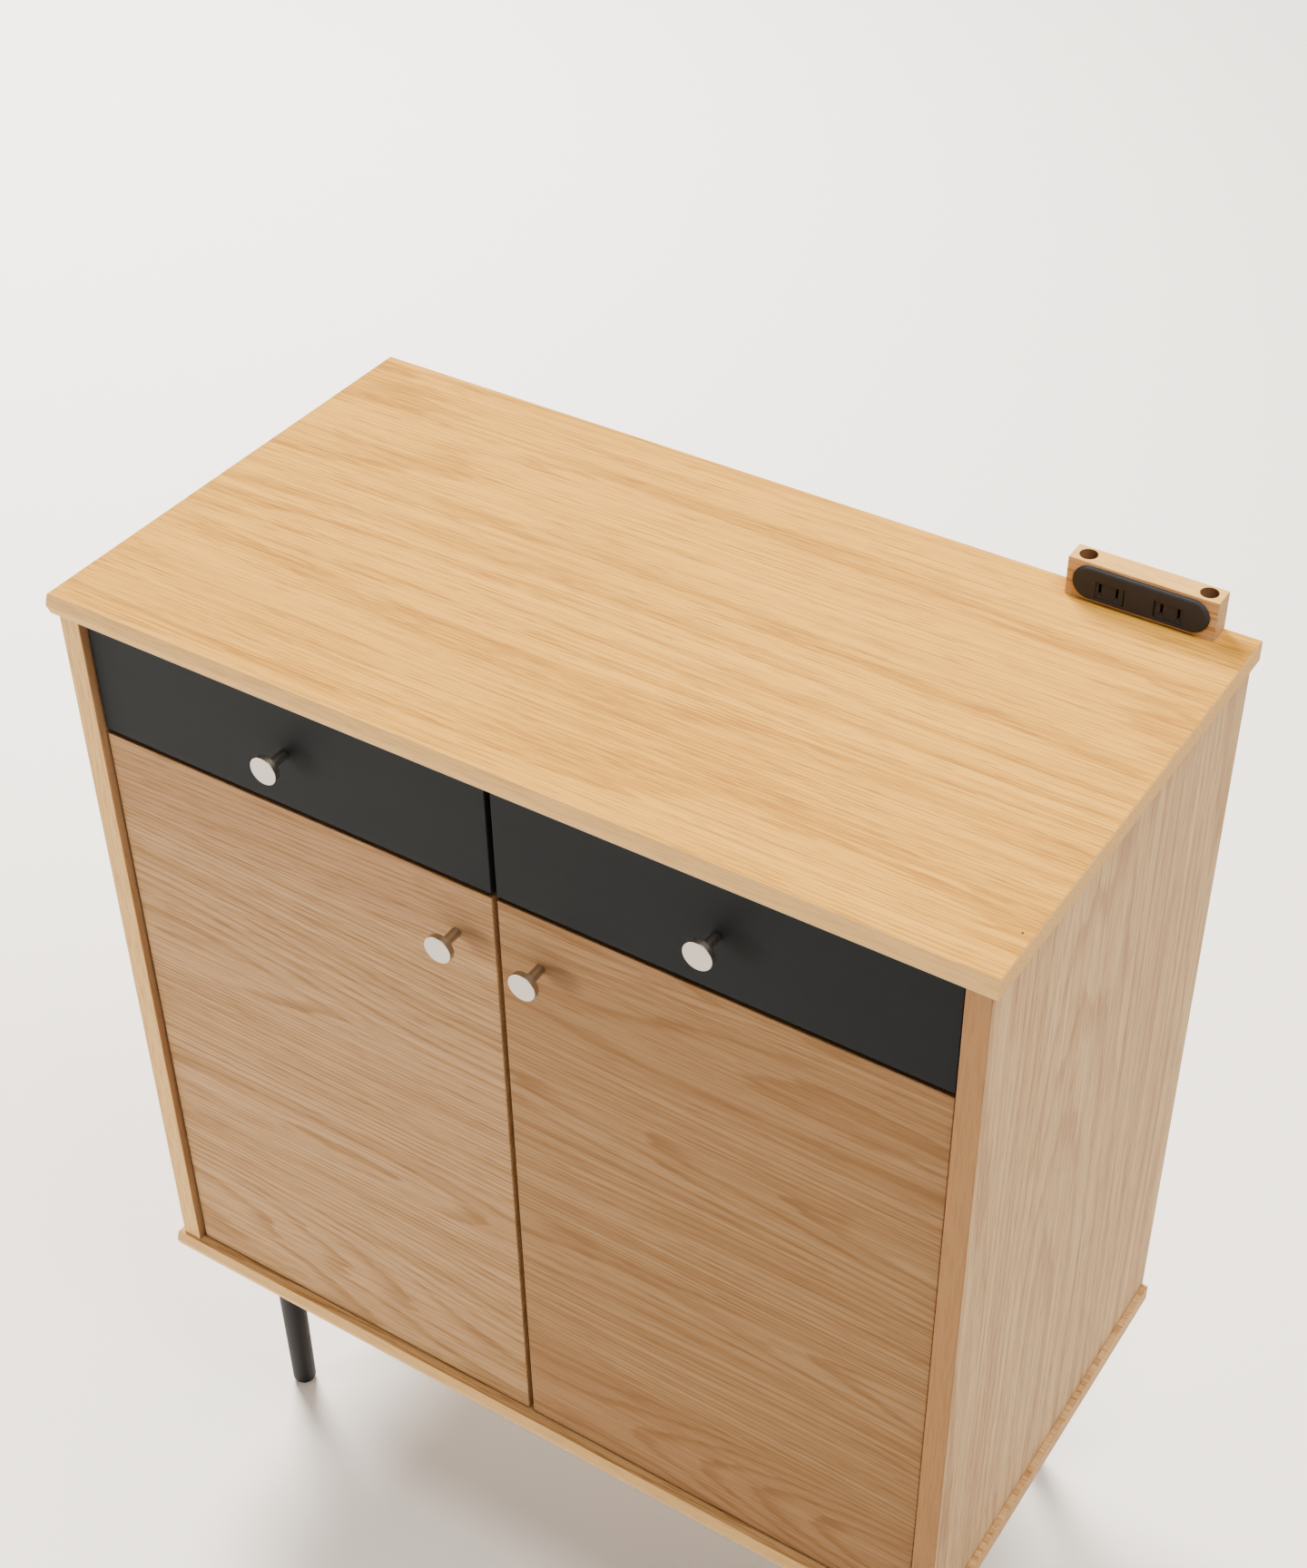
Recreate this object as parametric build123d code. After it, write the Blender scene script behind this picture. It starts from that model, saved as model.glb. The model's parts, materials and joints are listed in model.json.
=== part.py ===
from build123d import *
from math import cos, radians, sin
import os

# Counter-height kitchen cabinet: two drawers over two doors, on four round legs,
# with a twin power outlet in a small block on the rear edge of the top.
# Millimetres. The origin is on the floor under the middle of the cabinet,
# +X is to the right of someone facing the doors, -Y is towards that person, +Z is up.

# Overall sizes
cabinet_width = 750.0
cabinet_depth = 400.0
counter_height = 900.0
leg_height = 202.0

# Boards and how far they stand out past the body
board_thickness = 17.0
panel_thickness = 18.0
side_overhang = 5.0
front_overhang = 6.0
rear_overhang = 0.5
nose_depth = 3.4
nose_round = 3.0
board_edge_round = 1.2
panel_edge_round = 0.8
inner_board_thickness = 16.0
back_thickness = 5.0
back_groove_depth = 6.0
back_inset = 12.0

# Fronts and the gaps round them
front_thickness = 18.0
front_recess = 5.4
front_side_gap = 2.5
front_centre_gap = 4.5
front_top_gap = 3.0
front_bottom_gap = 2.0
drawer_front_height = 95.7
drawer_door_gap = 4.0
front_edge_round = 0.8

# Middle board under the drawers and the upright between them
middle_board_setback = 1.6
middle_board_clear = 1.0

# Drawer boxes
box_side_thickness = 12.0
box_height = 70.0
box_rear_clear = 33.1
box_bottom_thickness = 5.0
box_bottom_rise = 12.0
box_groove_depth = 6.0
box_lift = 4.0
groove_play = 0.1

# Drawer runners, three members each side
runner_space = 12.7
runner_shorter = 20.0
runner_height = 35.0
runner_steel = 1.2
runner_setback = 3.0
middle_member_start = 3.4
middle_member_height = 26.6
middle_member_reach = 7.6
middle_member_shorter = 10.0
inner_member_height = 18.0
inner_member_reach = 6.4
outer_member_reach = 9.6
ball_strip_width = 4.2
ball_strip_play = 0.2
ball_strip_share = 0.3
ball_strip_start_share = 0.48

# Adjustable shelf
shelf_thickness = 16.0
shelf_side_play = 0.5
shelf_front_setback = 45.0
shelf_pin_diameter = 5.0
shelf_pin_depth = 8.0
shelf_pin_reach = 8.0
shelf_pin_collar_diameter = 8.0
shelf_pin_collar = 1.2
pin_hole_pitch = 32.0
pin_hole_count = 7
pin_hole_start = 170.0
pin_holes_below = 3
pin_row_front = 75.0
pin_row_rear = 55.0

# Eccentric connectors that pull the boards together
cam_diameter = 15.0
cam_height = 12.4
cam_sink = 0.2
cam_distance = 24.0
cam_rim_margin = 55.0
cam_slot_width = 1.6
cam_slot_depth = 1.6
cam_bolt_head = 6.6
cam_bolt_neck = 4.6
cam_bolt_neck_length = 4.0
cam_bolt_thread = 5.0
cam_bolt_depth = 10.0

# Concealed cup hinges, two to a door. One pin crosses each cup, and a gooseneck arm
# leads from it round the edge of the opening door to a plate on the side panel.
hinge_from_end = 80.0
hinge_axis_from_edge = 17.0
hinge_axis_from_face = 9.0
hinge_cup_diameter = 35.0
hinge_cup_depth = 12.5
hinge_cup_wall = 1.0
hinge_cup_from_edge = 21.5
hinge_rim_width = 1.0
hinge_flange_length = 58.0
hinge_flange_width = 12.0
hinge_flange_thickness = 1.2
hinge_flange_shift = 9.5
hinge_flange_corner = 5.0
hinge_peg_spacing = 45.0
hinge_peg_diameter = 8.0
hinge_peg_length = 10.0
hinge_pin_diameter = 2.4
hinge_cheek_gap = 0.5
hinge_cheek_thickness = 1.5
hinge_cheek_width = 6.0
hinge_arm_width = 9.0
hinge_eye_radius = 2.2
hinge_neck_radius = 1.9
hinge_neck_angle = 33.0
hinge_neck_length = 24.0
hinge_bow_out = 18.0
hinge_bow_back = 23.0
hinge_root_back = 42.0
hinge_root_length = 28.0
hinge_root_thickness = 8.0
hinge_plate_from_face = 60.0
hinge_plate_length = 44.0
hinge_plate_width = 20.0
hinge_plate_thickness = 3.0
hinge_wing_thickness = 2.0
hinge_wing_reach = 32.0
hinge_plate_screw_spacing = 32.0
arm_screw_diameter = 5.0
arm_screw_head = 8.0
arm_screw_head_height = 2.0

# Euro screws fix the hinge plates and the runners to the cabinet
euro_screw_diameter = 6.2
euro_screw_depth = 12.0
euro_screw_head = 8.6
euro_screw_head_height = 1.8
runner_screw_margin = 40.0
runner_screw_stagger = 16.0

# Legs
leg_top_diameter = 24.0
leg_foot_diameter = 21.0
leg_foot_round = 4.0
leg_side_inset = 70.0
leg_front_inset = 58.0
leg_plate_size = 60.0
leg_plate_thickness = 2.5
leg_plate_corner = 8.0
leg_screw_spacing = 44.0
leg_screw_diameter = 3.6
leg_screw_length = 13.0
leg_screw_head = 7.0
leg_screw_head_height = 2.2
stud_diameter = 8.0
stud_in_leg = 22.0
stud_above_plate = 7.0
glide_diameter = 14.0
glide_height = 2.0
glide_pin_diameter = 2.4
glide_pin_length = 12.0

# Knobs
knob_length = 22.5
knob_diameter = 22.4
knob_head_thickness = 5.0
knob_edge_round = 0.4
knob_neck_diameter = 8.0
knob_neck_round = 3.0
knob_thread_depth = 9.0
knob_screw_diameter = 4.0
knob_screw_head = 8.4
knob_screw_head_height = 2.4
door_knob_from_edge = 33.2
door_knob_from_top = 46.4

# Outlet block
block_length = 112.5
block_depth = 18.5
block_height = 31.0
block_from_side = 28.0
block_edge_round = 0.9
block_screw_from_end = 11.3
block_counterbore_diameter = 13.2
block_counterbore_depth = 20.0
block_screw_diameter = 4.4
block_screw_head = 8.2
block_screw_head_height = 3.0
block_screw_depth = 13.0
plate_length = 102.0
plate_height = 26.0
plate_thickness = 3.0
plate_edge_round = 2.4
socket_pitch = 46.0
socket_width = 22.0
socket_height = 14.0
socket_drop = 2.9
socket_shift = 1.2
socket_recess = 0.8
latch_groove_width = 1.2
latch_groove_depth = 1.0
slot_spacing = 12.7
slot_width = 2.2
slot_height = 8.0
slot_rise = 1.5
slot_ramp_width = 3.6
slot_ramp_height = 3.0
slot_ramp_depth = 1.4
housing_length = 70.0
housing_height = 21.0
housing_depth = 14.0
housing_wall = 1.6
contact_thickness = 0.5
contact_depth = 8.0
gland_diameter = 8.0
gland_bore = 5.0

# Clearances, and how far a cut starts outside the piece it opens
screw_play = 0.05
slip_play = 0.15
overcut = 1.0

# Positions worked out from the sizes above
half_width = cabinet_width / 2
front_tip = -cabinet_depth / 2
rear = cabinet_depth / 2
flat_front = front_tip + nose_depth
base_low = leg_height
base_top = base_low + board_thickness
top_low = counter_height - board_thickness
panel_outer = half_width - side_overhang
panel_inner = panel_outer - panel_thickness
panel_front = front_tip + front_overhang
panel_rear = rear - rear_overhang
back_face = panel_rear - back_inset - back_thickness
front_face = panel_front + front_recess
front_back = front_face + front_thickness
front_outer = panel_inner - front_side_gap
front_inner = front_centre_gap / 2
front_middle = (front_outer + front_inner) / 2
drawer_front_top = top_low - front_top_gap
drawer_front_low = drawer_front_top - drawer_front_height
door_top = drawer_front_low - drawer_door_gap
door_low = base_top + front_bottom_gap
# The opening doors pass under the middle board
middle_low = door_top + middle_board_clear
middle_top = middle_low + inner_board_thickness
inner_front = front_back + middle_board_setback
upright_half = inner_board_thickness / 2
box_low = middle_top + box_lift
box_top = box_low + box_height
box_front = front_back
box_rear = back_face - box_rear_clear
box_centre = (panel_inner + upright_half) / 2
box_half = (panel_inner - upright_half) / 2 - runner_space
runner_level = (box_low + box_top) / 2
runner_front = front_back + runner_setback
runner_length = box_rear - box_front - runner_shorter
middle_member_length = runner_length - middle_member_shorter


def block(low, high):
    size = [b - a for a, b in zip(low, high)]
    middle = [(a + b) / 2 for a, b in zip(low, high)]
    return Pos(*middle) * Box(*size)


def rod(radius, start, end):
    line = Vector(*end) - Vector(*start)
    seat = Plane(origin=start, z_dir=line)
    return seat * Cylinder(radius, line.length, align=(Align.CENTER, Align.CENTER, Align.MIN))


def mirrored(shape):
    return mirror(shape, about=Plane.YZ)


def both_sides(shapes):
    return list(shapes) + [mirrored(shape) for shape in shapes]


def write(name, *shapes):
    kept = shapes[0] if len(shapes) == 1 else Compound(children=list(shapes))
    export_step(kept, f"parts/{name}.step")


# Eccentric connector: a cam in a pocket of one board and a bolt screwed into the other.
# In its own frame the pocket opens at +Z and the bolt points along +X.

def cam_frame(point, bolt_direction, mouth_direction):
    return Plane(origin=point, x_dir=bolt_direction, z_dir=mouth_direction)


def cam_pieces(frame, thickness):
    radius = cam_diameter / 2 - slip_play
    level = -thickness / 2
    cam_top = -cam_sink
    cam = rod(radius, (0, 0, cam_top - cam_height), (0, 0, cam_top))
    channel_radius = cam_bolt_head / 2 + slip_play
    channel = rod(channel_radius, (-channel_radius, 0, level), (cam_diameter, 0, level))
    slot = Pos(0, 0, cam_top) * Box(radius, cam_slot_width, 2 * cam_slot_depth)
    cam = cam - channel - slot
    neck_start = cam_bolt_head / 2
    neck_end = neck_start + cam_bolt_neck_length
    bolt = rod(cam_bolt_head / 2, (-neck_start, 0, level), (neck_start, 0, level))
    bolt += rod(cam_bolt_neck / 2, (neck_start, 0, level), (neck_end, 0, level))
    bolt += rod(cam_bolt_head / 2, (neck_end, 0, level), (cam_distance, 0, level))
    bolt += rod(cam_bolt_thread / 2, (cam_distance, 0, level), (cam_distance + cam_bolt_depth, 0, level))
    return frame * cam, frame * bolt


def cam_cut(frame, thickness):
    level = -thickness / 2
    pocket = rod(cam_diameter / 2, (0, 0, -cam_height - cam_sink), (0, 0, overcut))
    bore = rod(cam_bolt_head / 2 + slip_play, (0, 0, level), (cam_distance, 0, level))
    return frame * (pocket + bore)


def bolt_cut(frame, thickness):
    level = -thickness / 2
    start = cam_distance - overcut
    end = cam_distance + cam_bolt_depth + slip_play
    return frame * rod(cam_bolt_thread / 2 + screw_play, (start, 0, level), (end, 0, level))


cam_rows = (panel_front + cam_rim_margin, back_face - cam_rim_margin)
side_cams_up = [cam_frame((panel_inner, y, top_low - cam_distance), (0, 0, 1), (-1, 0, 0)) for y in cam_rows]
side_cams_down = [cam_frame((panel_inner, y, base_top + cam_distance), (0, 0, -1), (-1, 0, 0))
                  for y in cam_rows]
middle_cams = [cam_frame((panel_inner - cam_distance, y, middle_low), (1, 0, 0), (0, 0, -1)) for y in cam_rows]
upright_cams_up = [cam_frame((upright_half, y, top_low - cam_distance), (0, 0, 1), (1, 0, 0)) for y in cam_rows]
upright_cams_down = [cam_frame((upright_half, y, middle_top + cam_distance), (0, 0, -1), (1, 0, 0))
                     for y in cam_rows]


def euro_screw(x, y, z, way, seat):
    # way points into the panel; the head rests on a sheet of thickness seat
    head_low = x - way * seat
    screw = rod(euro_screw_diameter / 2, (head_low, y, z), (x + way * euro_screw_depth, y, z))
    head_top = head_low - way * euro_screw_head_height
    return screw + rod(euro_screw_head / 2, (head_top, y, z), (head_low, y, z))


def euro_hole(x, y, z, way):
    start = x - way * overcut
    end = x + way * (euro_screw_depth + slip_play)
    return rod(euro_screw_diameter / 2 + screw_play, (start, y, z), (end, y, z))


# Top and base boards share one section: flat faces, a shallow two-bevel nose along the front

def counter_board(low):
    high = low + board_thickness
    middle = (low + high) / 2
    outline = [(rear, low), (rear, high), (flat_front, high), (front_tip, middle), (flat_front, low)]
    board = extrude(Plane.YZ * make_face(Polyline(*outline, close=True)), half_width, both=True)
    board = fillet(board.edges().filter_by(Axis.X).group_by(Axis.Y)[0], nose_round)
    board = fillet(board.edges().filter_by(Axis.Y), board_edge_round)
    return board


block_right = half_width - block_from_side
block_left = block_right - block_length
block_middle = (block_left + block_right) / 2
block_front = rear - block_depth
block_screw_y = rear - block_depth / 2
block_screw_xs = (block_left + block_screw_from_end, block_right - block_screw_from_end)
block_top = counter_height + block_height
block_level = counter_height + block_height / 2
block_screw_seat = block_top - block_counterbore_depth
housing_back = block_front + housing_depth
gland_mouth = (block_middle, rear, block_level)

hinge_levels = (door_low + hinge_from_end, door_top - hinge_from_end)
cup_x = front_outer - hinge_cup_from_edge
axis_x = front_outer - hinge_axis_from_edge
axis_y = front_face + hinge_axis_from_face
hinge_pin_half = hinge_arm_width / 2 + hinge_cheek_gap + hinge_cheek_thickness
plate_face = panel_inner - hinge_plate_thickness
root_face = plate_face - hinge_root_thickness
hinge_plate_y = front_face + hinge_plate_from_face
hinge_plate_screw_step = hinge_plate_screw_spacing / 2
hinge_plate_screws = [(hinge_plate_y, z + way * hinge_plate_screw_step)
                      for z in hinge_levels for way in (-1, 1)]
# The two runners on the upright are screwed from opposite sides, so their screws are staggered
runner_screw_ys = (runner_front + runner_screw_margin, runner_front + runner_length - runner_screw_margin)
runner_screws_panel = [y - runner_screw_stagger for y in runner_screw_ys]
runner_screws_right = [y + runner_screw_stagger for y in runner_screw_ys]

leg_x = half_width - leg_side_inset
leg_y = cabinet_depth / 2 - leg_front_inset
leg_screw_step = leg_screw_spacing / 2
plate_low = base_low - leg_plate_thickness
leg_corners = [("front_left", -leg_x, -leg_y), ("front_right", leg_x, -leg_y),
               ("rear_left", -leg_x, leg_y), ("rear_right", leg_x, leg_y)]
leg_screw_steps = [(i * leg_screw_step, j * leg_screw_step) for i in (-1, 1) for j in (-1, 1)]


def make_top_board():
    board = counter_board(top_low)
    for frame in side_cams_up:
        cut = bolt_cut(frame, panel_thickness)
        board = board - cut - mirrored(cut)
    for frame in upright_cams_up:
        board -= bolt_cut(frame, inner_board_thickness)
    for x in block_screw_xs:
        start = (x, block_screw_y, counter_height)
        end = (x, block_screw_y, counter_height - block_screw_depth - slip_play)
        board -= rod(block_screw_diameter / 2 + screw_play, start, end)
    return board


def make_base_board():
    board = counter_board(base_low)
    for frame in side_cams_down:
        cut = bolt_cut(frame, panel_thickness)
        board = board - cut - mirrored(cut)
    for name, x, y in leg_corners:
        stud_hole_top = base_low + stud_above_plate + slip_play
        board -= rod(stud_diameter / 2 + slip_play, (x, y, base_low), (x, y, stud_hole_top))
        for dx, dy in leg_screw_steps:
            start = (x + dx, y + dy, base_low)
            end = (x + dx, y + dy, plate_low + leg_screw_length + slip_play)
            board -= rod(leg_screw_diameter / 2 + screw_play, start, end)
    return board


# Shelf pins stand in one hole of each row
pin_ys = (panel_front + pin_row_front, back_face - pin_row_rear)
pin_levels = [base_top + pin_hole_start + i * pin_hole_pitch for i in range(pin_hole_count)]
shelf_pin_level = base_top + pin_hole_start + pin_holes_below * pin_hole_pitch
shelf_low = shelf_pin_level + shelf_pin_diameter / 2


def make_side_panel():
    panel = block((panel_inner, panel_front, base_top), (panel_outer, panel_rear, top_low))
    panel = fillet(panel.edges().filter_by(Axis.Z).group_by(Axis.Y)[0], panel_edge_round)
    panel -= block((panel_inner - overcut, back_face, base_top - overcut),
                   (panel_inner + back_groove_depth, back_face + back_thickness, top_low + overcut))
    for frame in side_cams_up + side_cams_down:
        panel -= cam_cut(frame, panel_thickness)
    for frame in middle_cams:
        panel -= bolt_cut(frame, inner_board_thickness)
    for y, z in hinge_plate_screws:
        panel -= euro_hole(panel_inner, y, z, 1)
    for y in runner_screws_panel:
        panel -= euro_hole(panel_inner, y, runner_level, 1)
    for y in pin_ys:
        for z in pin_levels:
            start = (panel_inner - overcut, y, z)
            end = (panel_inner + shelf_pin_depth + slip_play, y, z)
            panel -= rod(shelf_pin_diameter / 2 + screw_play, start, end)
    return panel


def make_shelf_pins():
    pins = []
    for y in pin_ys:
        inside = (panel_inner - shelf_pin_reach, y, shelf_pin_level)
        collar_end = (panel_inner - shelf_pin_collar, y, shelf_pin_level)
        pin = rod(shelf_pin_diameter / 2, inside, (panel_inner + shelf_pin_depth, y, shelf_pin_level))
        collar = rod(shelf_pin_collar_diameter / 2, collar_end, (panel_inner, y, shelf_pin_level))
        collar -= block((0, -rear, shelf_low), (half_width, rear, shelf_low + shelf_pin_collar_diameter))
        pins.append(pin + collar)
    return both_sides(pins)


def make_middle_board():
    board = block((-panel_inner, inner_front, middle_low), (panel_inner, back_face, middle_top))
    for frame in middle_cams:
        cut = cam_cut(frame, inner_board_thickness)
        board = board - cut - mirrored(cut)
    for frame in upright_cams_down:
        board -= bolt_cut(frame, inner_board_thickness)
    return board


def make_upright():
    board = block((-upright_half, inner_front, middle_top), (upright_half, back_face, top_low))
    for frame in upright_cams_up + upright_cams_down:
        board -= cam_cut(frame, inner_board_thickness)
    for y in runner_screws_right:
        board -= euro_hole(upright_half, y, runner_level, -1)
    for y in runner_screws_panel:
        board -= mirrored(euro_hole(upright_half, y, runner_level, -1))
    return board


def make_connectors():
    cams = []
    bolts = []
    for frames, thickness, twice in ((side_cams_up + side_cams_down, panel_thickness, True),
                                     (middle_cams, inner_board_thickness, True),
                                     (upright_cams_up + upright_cams_down, inner_board_thickness, False)):
        for frame in frames:
            cam, bolt = cam_pieces(frame, thickness)
            cams += both_sides([cam]) if twice else [cam]
            bolts += both_sides([bolt]) if twice else [bolt]
    return cams, bolts


# Legs with their plates, screws, studs and glides

def make_leg(x, y):
    height = plate_low - glide_height
    on_base = (Align.CENTER, Align.CENTER, Align.MIN)
    leg = Cone(leg_foot_diameter / 2, leg_top_diameter / 2, height, align=on_base)
    leg = fillet(leg.edges().group_by(Axis.Z)[0], leg_foot_round)
    leg -= rod(stud_diameter / 2 + screw_play, (0, 0, height - stud_in_leg - slip_play), (0, 0, height))
    leg -= rod(glide_pin_diameter / 2 + screw_play, (0, 0, 0), (0, 0, glide_pin_length + slip_play))
    return Pos(x, y, glide_height) * leg


def make_leg_plate(x, y):
    half = leg_plate_size / 2
    plate = block((-half, -half, plate_low), (half, half, base_low))
    plate = fillet(plate.edges().filter_by(Axis.Z), leg_plate_corner)
    plate -= rod(stud_diameter / 2 + screw_play, (0, 0, plate_low), (0, 0, base_low))
    for dx, dy in leg_screw_steps:
        plate -= rod(leg_screw_diameter / 2 + screw_play, (dx, dy, plate_low), (dx, dy, base_low))
    return Pos(x, y, 0) * plate


def make_leg_screws(x, y):
    screws = []
    for dx, dy in leg_screw_steps:
        at = (x + dx, y + dy)
        screw = rod(leg_screw_diameter / 2, (*at, plate_low), (*at, plate_low + leg_screw_length))
        screw += rod(leg_screw_head / 2, (*at, plate_low - leg_screw_head_height), (*at, plate_low))
        screws.append(screw)
    return screws


def make_stud(x, y):
    return rod(stud_diameter / 2, (x, y, plate_low - stud_in_leg), (x, y, base_low + stud_above_plate))


def make_glide(x, y):
    disc = rod(glide_diameter / 2, (x, y, 0), (x, y, glide_height))
    return disc + rod(glide_pin_diameter / 2, (x, y, glide_height), (x, y, glide_height + glide_pin_length))


# Knob: a flat disc on a straight neck that flares a little into it, held by a screw from inside

def make_knob(x, z):
    head_start = knob_length - knob_head_thickness
    neck = rod(knob_neck_diameter / 2, (0, 0, 0), (0, 0, head_start))
    head = rod(knob_diameter / 2, (0, 0, head_start), (0, 0, knob_length))
    body = neck + head
    rims = body.edges().filter_by(GeomType.CIRCLE).sort_by(SortBy.RADIUS)
    body = fillet(rims[-2:], knob_edge_round)
    inner_rims = body.edges().filter_by(GeomType.CIRCLE).filter_by_position(Axis.Z, overcut, head_start)
    body = fillet(inner_rims.sort_by(SortBy.RADIUS)[0], knob_neck_round)
    body -= rod(knob_screw_diameter / 2 + screw_play, (0, 0, 0), (0, 0, knob_thread_depth))
    return Pos(x, front_face, z) * Rot(90, 0, 0) * body


def make_knob_screw(x, z):
    tip = front_face - knob_thread_depth + slip_play
    screw = rod(knob_screw_diameter / 2, (x, tip, z), (x, front_back, z))
    return screw + rod(knob_screw_head / 2, (x, front_back, z), (x, front_back + knob_screw_head_height, z))


def knob_hole(x, z):
    return rod(knob_screw_diameter / 2 + screw_play, (x, front_face - overcut, z), (x, front_back + overcut, z))


def make_front(low, high, knob_x, knob_z):
    board = block((front_inner, front_face, low), (front_outer, front_back, high))
    board = fillet(board.edges().group_by(Axis.Y)[0], front_edge_round)
    return board - knob_hole(knob_x, knob_z)


drawer_knob_z = (drawer_front_low + drawer_front_top) / 2
door_knob_x = front_inner + door_knob_from_edge
door_knob_z = door_top - door_knob_from_top
bottom_low = box_low + box_bottom_rise
bottom_top = bottom_low + box_bottom_thickness


# Right drawer, mirrored for the left one

def make_drawer_front():
    board = make_front(drawer_front_low, drawer_front_top, front_middle, drawer_knob_z)
    left = box_centre - box_half + box_side_thickness - box_groove_depth
    right = box_centre + box_half - box_side_thickness + box_groove_depth
    groove = block((left, front_back - box_groove_depth, bottom_low - groove_play),
                   (right, front_back + overcut, bottom_top + groove_play))
    return board - groove


def make_box_side(sign):
    outer = box_centre + sign * box_half
    inner = outer - sign * box_side_thickness
    deep = inner + sign * box_groove_depth
    side = block((min(outer, inner), box_front, box_low), (max(outer, inner), box_rear, box_top))
    groove = block((min(inner, deep), box_front - overcut, bottom_low - groove_play),
                   (max(inner, deep), box_rear + overcut, bottom_top + groove_play))
    return side - groove


def make_box_back():
    reach = box_half - box_side_thickness
    return block((box_centre - reach, box_rear - box_side_thickness, bottom_top + groove_play),
                 (box_centre + reach, box_rear, box_top))


def make_box_bottom():
    reach = box_half - box_side_thickness + box_groove_depth - groove_play
    front = front_back - box_groove_depth + groove_play
    return block((box_centre - reach, front, bottom_low), (box_centre + reach, box_rear, bottom_top))


# Runner members in their own frame: w grows from the cabinet wall towards the box

def channel(start, reach, height, length, opens):
    high = height / 2
    inside = high - runner_steel
    end = start + opens * reach
    web = start + opens * runner_steel
    lower = [(start, -high), (end, -high), (end, -inside), (web, -inside)]
    outline = lower + [(u, -v) for u, v in reversed(lower)]
    face = Plane.XZ * make_face(Polyline(*outline, close=True))
    return extrude(face, -length)


def ball_strips(low, high, start):
    strips = []
    for sign in (-1, 1):
        for share in (0, ball_strip_start_share):
            begin = share * runner_length
            end = begin + ball_strip_share * runner_length
            strips.append(block((start, begin, min(sign * low, sign * high)),
                                (start + ball_strip_width, end, max(sign * low, sign * high))))
    return strips


def place_member(shape, wall, towards_box):
    placed = shape if towards_box > 0 else mirrored(shape)
    return Pos(wall, runner_front, runner_level) * placed


runner_walls = ((upright_half, 1), (panel_inner, -1))


def make_outer_members():
    member = channel(0, outer_member_reach, runner_height, runner_length, 1)
    for y in runner_screws_panel + runner_screws_right:
        along = y - runner_front
        radius = euro_screw_diameter / 2 + screw_play
        member -= rod(radius, (-overcut, along, 0), (runner_steel + overcut, along, 0))
    return [place_member(member, wall, way) for wall, way in runner_walls]


def make_middle_members():
    member = channel(middle_member_start, middle_member_reach, middle_member_height, middle_member_length, 1)
    strip_low = middle_member_height / 2
    strip_high = runner_height / 2 - runner_steel - ball_strip_play
    for strip in ball_strips(strip_low, strip_high, middle_member_start + runner_steel):
        member += strip
    return [place_member(member, wall, way) for wall, way in runner_walls]


def make_inner_members():
    member = channel(runner_space, inner_member_reach, inner_member_height, runner_length, -1)
    strip_low = inner_member_height / 2
    strip_high = middle_member_height / 2 - runner_steel - ball_strip_play
    for strip in ball_strips(strip_low, strip_high, runner_space - inner_member_reach):
        member += strip
    return [place_member(member, wall, way) for wall, way in runner_walls]


# Hinges of the right door

def bar(start, end, radius, width, z):
    # Flat bar with round ends between two points of a level plane
    run = Vector(*end) - Vector(*start)
    seat = Plane(origin=(start[0], start[1], z - width / 2), x_dir=(run.X, run.Y, 0), z_dir=(0, 0, 1))
    outline = SlotCenterToCenter(run.length, 2 * radius)
    return extrude(seat * Pos(run.length / 2, 0, 0) * outline, width)


def hinge_cup(z):
    back = front_back + hinge_flange_thickness
    low = front_back - hinge_cup_depth
    flange_x = cup_x - hinge_flange_shift
    flange = block((flange_x - hinge_flange_width / 2, front_back, z - hinge_flange_length / 2),
                   (flange_x + hinge_flange_width / 2, back, z + hinge_flange_length / 2))
    flange = fillet(flange.edges().filter_by(Axis.Y), hinge_flange_corner)
    cup = rod(hinge_cup_diameter / 2, (cup_x, low, z), (cup_x, front_back, z)) + flange
    cup += rod(hinge_cup_diameter / 2 + hinge_rim_width, (cup_x, front_back, z), (cup_x, back, z))
    hollow = rod(hinge_cup_diameter / 2 - hinge_cup_wall, (cup_x, low + hinge_cup_wall, z), (cup_x, back, z))
    cheek_low = hinge_arm_width / 2 + hinge_cheek_gap
    for way in (-1, 1):
        ends = sorted((z + way * cheek_low, z + way * (cheek_low + hinge_cheek_thickness)))
        cheek = block((axis_x - hinge_cheek_width / 2, low, ends[0]),
                      (axis_x + hinge_cheek_width / 2, front_back, ends[1]))
        hollow -= cheek
    cup -= hollow
    cup -= hinge_pin(z)
    for way in (-1, 1):
        at = z + way * hinge_peg_spacing / 2
        peg_end = (flange_x, front_back - hinge_peg_length, at)
        cup += rod(hinge_peg_diameter / 2, peg_end, (flange_x, front_back, at))
    return cup


def hinge_pin(z):
    low = (axis_x, axis_y, z - hinge_pin_half)
    return rod(hinge_pin_diameter / 2, low, (axis_x, axis_y, z + hinge_pin_half))


def hinge_bores(z):
    x = cup_x - hinge_flange_shift
    deep = front_back - hinge_cup_depth - slip_play
    cut = rod(hinge_cup_diameter / 2 + slip_play, (cup_x, deep, z), (cup_x, front_back + overcut, z))
    peg_end = front_back - hinge_peg_length - slip_play
    for way in (-1, 1):
        at = z + way * hinge_peg_spacing / 2
        cut += rod(hinge_peg_diameter / 2 + screw_play, (x, peg_end, at), (x, front_back + overcut, at))
    return cut


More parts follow.
